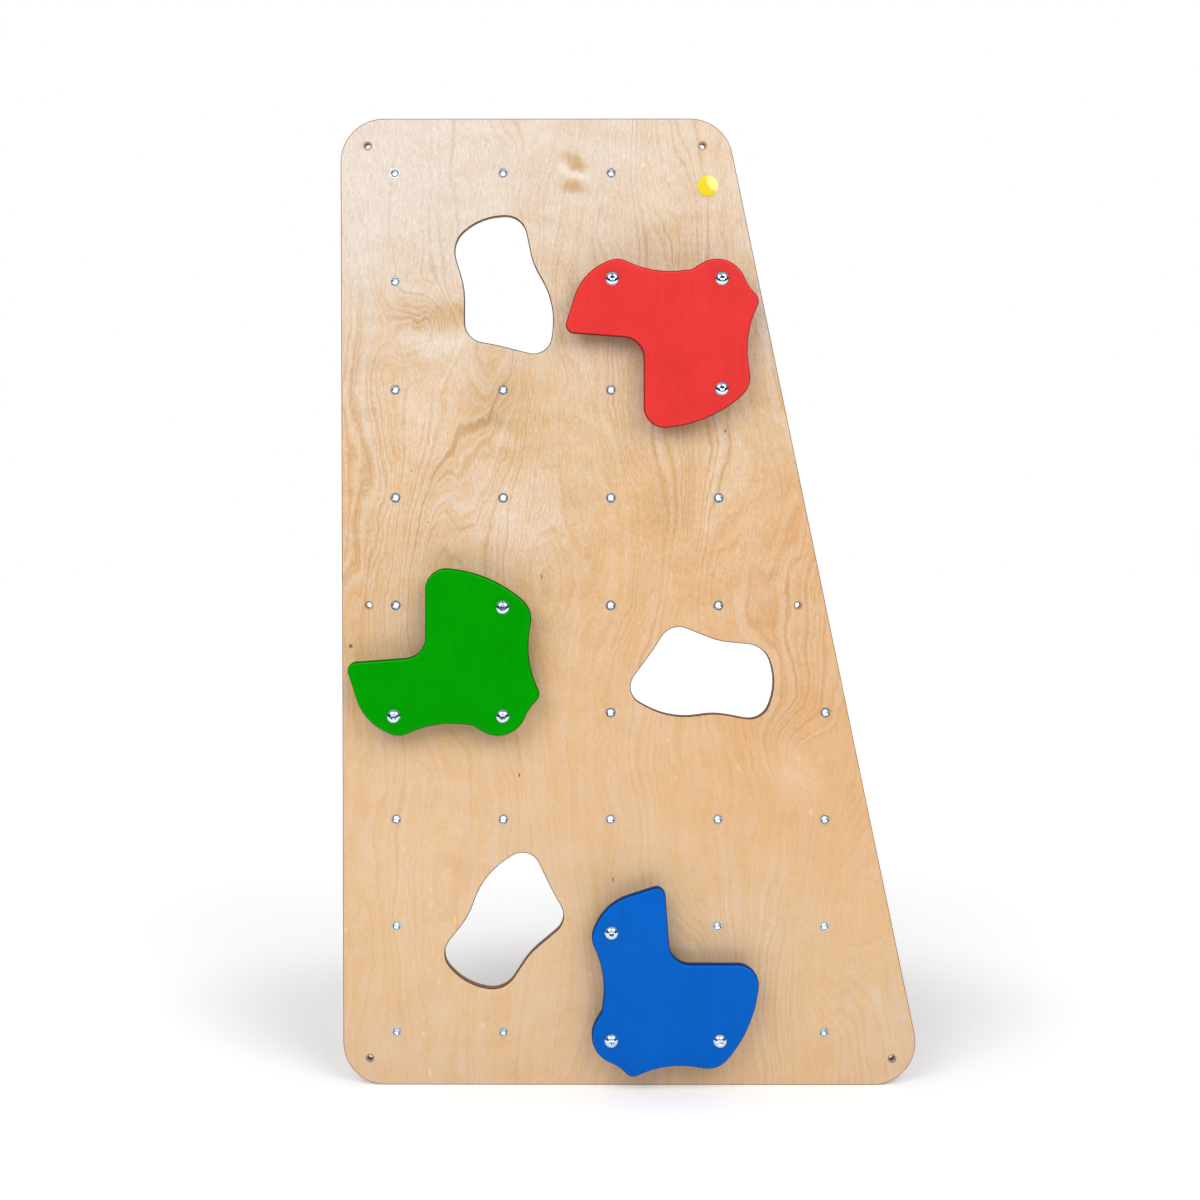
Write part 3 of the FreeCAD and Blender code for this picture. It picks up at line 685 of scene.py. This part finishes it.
def finish_piece(shape, name, centre, material, nodes, sharp_angle=math.radians(35)):
    """Move a shape to its place, make it a piece that stands for its CAD nodes, and finish it."""
    bmesh.ops.recalc_face_normals(shape, faces=shape.faces)
    bmesh.ops.translate(shape, verts=shape.verts, vec=centre)
    mesh = bpy.data.meshes.new(name)
    shape.to_mesh(mesh)
    shape.free()
    mesh.shade_smooth()
    mesh.set_sharp_from_angle(angle=sharp_angle)
    mesh.materials.append(material)
    piece = bpy.data.objects.new(name, mesh)
    bpy.context.scene.collection.objects.link(piece)
    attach(piece, "root")
    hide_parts(*nodes)
    return piece


def node_axis(node):
    """Where a turned node's axis is, on the board's front plane, and its lowest and highest depth."""
    low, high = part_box(node)
    centre = (low + high) / 2
    return Vector((centre.x, 0, centre.z)), low.y, high.y


def nodes_named(start):
    """The CAD nodes whose names start with a word."""
    return sorted(name for name in NODES if name.startswith(start))


def threaded_insert(fitting, front, back, rim_radius):
    """A flanged insert with a coned mouth and a cut thread in its bore."""
    body_radius = rim_radius - INSERT_RIM_WIDTH
    rim_back = front + INSERT_RIM_THICKNESS
    throat = front + fitting.insert_mouth_depth
    wall = fitting.thread_major
    lead_in = throat + wall - fitting.thread_minor
    soft = 0.0003
    shape = lathe([
        (wall, lead_in),
        (wall + 0.0001, throat),
        (fitting.insert_mouth, front + soft),
        (fitting.insert_mouth + soft, front),
        (rim_radius - soft, front),
        (rim_radius, front + soft),
        (rim_radius, rim_back),
        (body_radius, rim_back),
        (body_radius, back - soft),
        (body_radius - soft, back),
        (wall + soft, back),
        (wall, back - soft),
        (wall, lead_in),
    ], 36)
    add_thread(shape, fitting, throat - 0.0002, back - 0.0006)
    return shape


def add_thread(shape, fitting, start, end):
    """Wind a thread's ridge into a bore from one depth to another."""
    pitch = fitting.thread_pitch
    half = pitch * 0.44  # half the ridge's width at its root
    flat = half * 0.16  # half its width at the crest
    turns = (end - start - 2 * half) / pitch
    steps_per_turn = 20
    steps = round(turns * steps_per_turn)
    root = fitting.thread_major + 0.00015
    crest = fitting.thread_minor
    depth = start + half
    corners = [shape.verts.new(spot) for spot in (
        (root, depth - half, 0), (crest, depth - flat, 0), (crest, depth + flat, 0),
        (root, depth + half, 0))]
    profile = shape.faces.new(corners)
    bmesh.ops.spin(shape, geom=[profile, *profile.edges, *profile.verts], cent=(0, 0, 0), axis=(0, 1, 0),
                   dvec=(0, pitch / steps_per_turn, 0), angle=FULL_TURN * steps / steps_per_turn,
                   steps=steps, use_merge=False, use_duplicate=False)


def socket_bolt(fitting, seat, front, tip, head_radius):
    """A domed flange bolt with a chamfered hexagon socket, thinner where it is in its insert."""
    flange = 0.0012
    crown = 0.006
    dome_radius = 0.013
    dome_steps = 12
    neck = 0.001  # length of the cone between the shank and the thread
    tip_chamfer = 0.001
    start, end = Vector((crown, front)), Vector((head_radius, seat - flange))
    chord = end - start
    outward = Vector((chord.y, -chord.x)).normalized()
    if outward.x < 0:
        outward = -outward
    reach = math.sqrt(dome_radius ** 2 - chord.length_squared / 4)
    middle = (start + end) / 2 - outward * reach
    first = math.atan2(start.y - middle.y, start.x - middle.x)
    last = math.atan2(end.y - middle.y, end.x - middle.x)
    dome = []
    for step in range(dome_steps + 1):
        angle = first + (last - first) * step / dome_steps
        dome.append((middle.x + dome_radius * math.cos(angle), middle.y + dome_radius * math.sin(angle)))
    shape = lathe(dome + [
        (head_radius + FLANGE_SOFT, seat - flange + FLANGE_SOFT),
        (head_radius + FLANGE_SOFT, seat - FLANGE_SOFT),
        (head_radius, seat),
        (SHANK_RADIUS, seat),
        (SHANK_RADIUS, BOARD_FRONT - neck),
        (THREAD_ROOT_RADIUS, BOARD_FRONT),
        (THREAD_ROOT_RADIUS, tip - tip_chamfer),
        (THREAD_ROOT_RADIUS - tip_chamfer, tip),
        (0, tip),
    ], 48)
    add_socket(shape, fitting, front)
    return shape


def add_socket(shape, fitting, front):
    """Close the crown of a bolt with a hexagon socket that ends in a drilled point."""
    rim = [edge for edge in shape.edges if edge.is_boundary]
    half_flats = fitting.socket_flats / 2
    floor = fitting.socket_depth
    # Rings of the socket, as (share of its width, depth): the chamfer's two, and the floor's two.
    rings = [(1.12, 0.0), (1.0, 0.00035), (1.0, floor), (0.72, floor + 0.0002)]
    for share, depth in rings:
        grown = bmesh.ops.extrude_edge_only(shape, edges=rim)["geom"]
        rim = [item for item in grown if isinstance(item, bmesh.types.BMEdge) and item.is_boundary]
        for vert in {vert for edge in rim for vert in edge.verts}:
            angle = math.atan2(vert.co.z, vert.co.x)
            facet = (angle % math.radians(60)) - math.radians(30)
            radius = half_flats * share / math.cos(facet)
            vert.co = Vector((radius * math.cos(angle), front + depth, radius * math.sin(angle)))
    grown = bmesh.ops.extrude_edge_only(shape, edges=rim)["geom"]
    point = [item for item in grown if isinstance(item, bmesh.types.BMVert)]
    bmesh.ops.pointmerge(shape, verts=point, merge_co=(0, front + floor + 0.0016, 0))


# ---------------------------------------------------------------- operators

class CLIMBING_OT_effects(bpy.types.Operator):
    """Build the effects that several materials share"""
    bl_idname = "climbing.effects"
    bl_label = "Shared effects"

    def execute(self, context):
        build_figure_eye_group()
        build_veneer_group()
        build_lacquer_group()
        build_turned_group()
        return {"FINISHED"}


class CLIMBING_OT_board(bpy.types.Operator):
    """Give the board its veneer, sealed edges and lacquer"""
    bl_idname = "climbing.board"
    bl_label = "Plywood board"

    def execute(self, context):
        board = NODES["panel"]
        board.data.materials.clear()
        board.data.materials.append(board_material(context.scene.board_finish))
        return {"FINISHED"}


class CLIMBING_OT_holds(bpy.types.Operator):
    """Lacquer the three hold plates"""
    bl_idname = "climbing.holds"
    bl_label = "Hold plates"

    def execute(self, context):
        finish = context.scene.hold_finish
        for colour in ("red", "green", "blue"):
            plate = NODES[f"hold_{colour}"]
            plate.data.materials.clear()
            plate.data.materials.append(
                lacquer_material(f"lacquer_{colour}", getattr(finish, colour), finish))
        return {"FINISHED"}


class CLIMBING_OT_inserts(bpy.types.Operator):
    """Cut the threads of the inserts in the board"""
    bl_idname = "climbing.inserts"
    bl_label = "Threaded inserts"

    def execute(self, context):
        fitting = context.scene.fitting_finish
        zinc = steel_material("plated_insert", tuple(fitting.zinc), 0.28, 0.10, 0.04)
        for node in nodes_named("insert_"):
            low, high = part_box(node)
            centre, front, back = node_axis(node)
            shape = threaded_insert(fitting, front, back, (high.x - low.x) / 2)
            finish_piece(shape, node.replace("insert", "threaded_insert"), centre, zinc,
                         [node])
        return {"FINISHED"}


class CLIMBING_OT_sleeves(bpy.types.Operator):
    """Turn the distance sleeves behind the hold plates"""
    bl_idname = "climbing.sleeves"
    bl_label = "Distance sleeves"

    def execute(self, context):
        fitting = context.scene.fitting_finish
        turned = steel_material("turned_sleeve", tuple(fitting.sleeve), 0.32, 0.12, 0.3)
        for node in nodes_named("sleeve_"):
            low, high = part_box(node)
            centre, front, back = node_axis(node)
            outer, soft = (high.x - low.x) / 2, 0.0008
            shape = lathe([
                (SLEEVE_BORE_RADIUS, front), (outer - soft, front), (outer, front + soft),
                (outer, back - soft), (outer - soft, back), (SLEEVE_BORE_RADIUS, back),
                (SLEEVE_BORE_RADIUS, front)], 64)
            finish_piece(shape, node.replace("sleeve", "distance_sleeve"), centre, turned,
                         [node])
        return {"FINISHED"}


class CLIMBING_OT_bolts(bpy.types.Operator):
    """Shape the domed socket bolts of the hold plates"""
    bl_idname = "climbing.bolts"
    bl_label = "Socket bolts"

    def execute(self, context):
        fitting = context.scene.fitting_finish
        polished = steel_material("polished_bolt", tuple(fitting.steel), 0.07, 0.05, 0.02)
        for node in nodes_named("bolt_"):
            low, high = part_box(node)
            centre, front, tip = node_axis(node)
            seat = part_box("hold_" + node.split("_")[1])[0].y
            shape = socket_bolt(fitting, seat, front, tip, (high.x - low.x) / 2 - FLANGE_SOFT)
            finish_piece(shape, node.replace("bolt", "socket_bolt"), centre, polished,
                         [node], math.radians(28))
        return {"FINISHED"}


class CLIMBING_OT_badge(bpy.types.Operator):
    """Colour the plain domed badge"""
    bl_idname = "climbing.badge"
    bl_label = "Badge"

    def execute(self, context):
        disc = NODES["badge_disc"]
        disc.data.materials.clear()
        disc.data.materials.append(badge_material(context.scene.fitting_finish))
        return {"FINISHED"}


class CLIMBING_OT_stage(bpy.types.Operator):
    """Set up the floor, the lights and the camera"""
    bl_idname = "climbing.stage"
    bl_label = "Studio"

    def execute(self, context):
        studio = context.scene.studio_setup
        build_floor(studio)
        build_lights(studio)
        build_room(context.scene)
        build_camera(studio)
        context.scene.view_settings.view_transform = "Standard"
        return {"FINISHED"}


def build_floor(studio):
    """A seamless pale floor under the board, ending between the board and the camera."""
    front, back, half_width = -2.0, 14.0, 14.0
    shape = bmesh.new()
    bmesh.ops.create_grid(shape, x_segments=8, y_segments=8, size=1)
    bmesh.ops.scale(shape, verts=shape.verts, vec=(half_width, (back - front) / 2, 1))
    bmesh.ops.translate(shape, verts=shape.verts, vec=(0, (back + front) / 2, BOARD_LOW.z - FLOOR_GAP))
    mesh = bpy.data.meshes.new("studio_floor")
    shape.to_mesh(mesh)
    shape.free()
    floor = bpy.data.objects.new("studio_floor", mesh)
    bpy.context.scene.collection.objects.link(floor)
    material, tree, position = new_material("pale_floor")
    # The floor glows more with the distance from the board, so that it fades into the white room.
    from_board = stretched(tree, position, (1.0, 1.6, 1.0), (0, -0.45, 0))
    away = vector_maths(tree, "LENGTH", from_board).outputs["Value"]
    glow = maths(tree, "ADD", remap(tree, away, 0.5, 1.3, 0.215, 0.47),
                 remap(tree, away, 1.2, 4.0, 0.0, 0.30, smooth=False))
    finish_material(tree, Base_Color=tuple(studio.floor), Roughness=0.8, Specular_IOR_Level=0.2,
                    Emission_Color=(1.0, 1.0, 1.0), Emission_Strength=glow)
    mesh.materials.append(material)


def build_lights(studio):
    """Two round softboxes in front of the board, high to its left and right."""
    aim = Vector((0, 0, BOARD_HEIGHT / 2))
    lamps = [("softbox_left", (-1.45, -2.4, 2.6), 1.0), ("softbox_right", (1.35, -2.4, 2.6), 0.92)]
    for name, place, share in lamps:
        lamp = bpy.data.lights.new(name, "AREA")
        lamp.shape = "DISK"
        lamp.size = studio.lamp_width
        lamp.energy = studio.lamp_power * share
        light = bpy.data.objects.new(name, lamp)
        light.location = place
        light.rotation_euler = (aim - Vector(place)).to_track_quat("-Z", "Y").to_euler()
        bpy.context.scene.collection.objects.link(light)


def build_room(scene):
    """A white room for the eye and for soft light, and a darker studio in the reflections."""
    world = bpy.data.worlds.new("studio_room")
    scene.world = world
    world.use_nodes = True
    tree = world.node_tree
    tree.nodes.clear()
    rays = tree.nodes.new("ShaderNodeLightPath")
    direction = tree.nodes.new("ShaderNodeTexCoord").outputs["Generated"]
    _, y, z = place_node(tree, "ShaderNodeSeparateXYZ", None, Vector=direction).outputs
    ceiling = maths(tree, "ADD", remap(tree, z, 0.02, 0.16, 0.02, 0.13),
                    remap(tree, z, 0.16, 0.75, 0.0, 0.5))
    ahead = remap(tree, y, -0.955, -0.99, 0.0, 0.34)
    backdrop = maths(tree, "MULTIPLY", remap(tree, y, 0.0, 0.35), remap(tree, z, -0.30, -0.05))
    mirrored = maths(tree, "MAXIMUM", maths(tree, "MAXIMUM", ceiling, ahead), backdrop)
    # The level is 1 for what is seen directly, the studio's own in reflections, and low for soft light.
    seen = maths(tree, "MULTIPLY", rays.outputs["Is Glossy Ray"], maths(tree, "SUBTRACT", mirrored, 1.0))
    seen = maths(tree, "ADD", seen, 1.0)
    soft = maths(tree, "MULTIPLY", rays.outputs["Is Diffuse Ray"], -0.72)
    level = maths(tree, "ADD", seen, soft)
    tint = blend_colour(tree, rays.outputs["Is Glossy Ray"], (1.0, 1.0, 1.0), (0.72, 0.87, 1.0))
    background = place_node(tree, "ShaderNodeBackground", None, Color=tint, Strength=level)
    output = tree.nodes.new("ShaderNodeOutputWorld")
    tree.links.new(background.outputs["Background"], output.inputs["Surface"])


def build_camera(studio):
    """The camera, a little left of the board's middle, shifted as far as its framing needs."""
    camera = bpy.data.cameras.new("camera")
    camera.sensor_width = 36
    camera.lens = studio.lens
    camera.shift_x, camera.shift_y = studio.lens_shift
    camera.clip_end = 100
    viewer = bpy.data.objects.new("camera", camera)
    viewer.location = studio.eye
    viewer.rotation_euler = (math.radians(90) - studio.pitch, 0, studio.yaw)
    bpy.context.scene.collection.objects.link(viewer)
    bpy.context.scene.camera = viewer


OPERATORS = [
    CLIMBING_OT_effects,
    CLIMBING_OT_board,
    CLIMBING_OT_holds,
    CLIMBING_OT_inserts,
    CLIMBING_OT_sleeves,
    CLIMBING_OT_bolts,
    CLIMBING_OT_badge,
    CLIMBING_OT_stage,
]


class CLIMBING_PT_sidebar(bpy.types.Panel):
    """Lists the climbing board's sizes, colours and operators"""
    bl_idname = "CLIMBING_PT_sidebar"
    bl_label = "Climbing board"
    bl_space_type = "VIEW_3D"
    bl_region_type = "UI"
    bl_category = "Climbing board"

    def draw(self, context):
        for name, group in PROPERTY_GROUPS.items():
            box = self.layout.box()
            settings = getattr(context.scene, name)
            for field in group.__annotations__:
                box.prop(settings, field)
        for operator in OPERATORS:
            self.layout.operator(operator.bl_idname)


def register():
    """Register the classes and hang the property groups on the scene."""
    for name, group in PROPERTY_GROUPS.items():
        bpy.utils.register_class(group)
        setattr(bpy.types.Scene, name, bpy.props.PointerProperty(type=group))
    for item in [*OPERATORS, CLIMBING_PT_sidebar]:
        bpy.utils.register_class(item)


def unregister():
    """Undo register."""
    for item in [CLIMBING_PT_sidebar, *reversed(OPERATORS)]:
        bpy.utils.unregister_class(item)
    for name, group in reversed(list(PROPERTY_GROUPS.items())):
        delattr(bpy.types.Scene, name)
        bpy.utils.unregister_class(group)


def main():
    """Make the whole scene in order."""
    register()
    for operator in OPERATORS:
        section, name = operator.bl_idname.split(".")
        getattr(getattr(bpy.ops, section), name)()


if __name__ == "__main__":
    main()
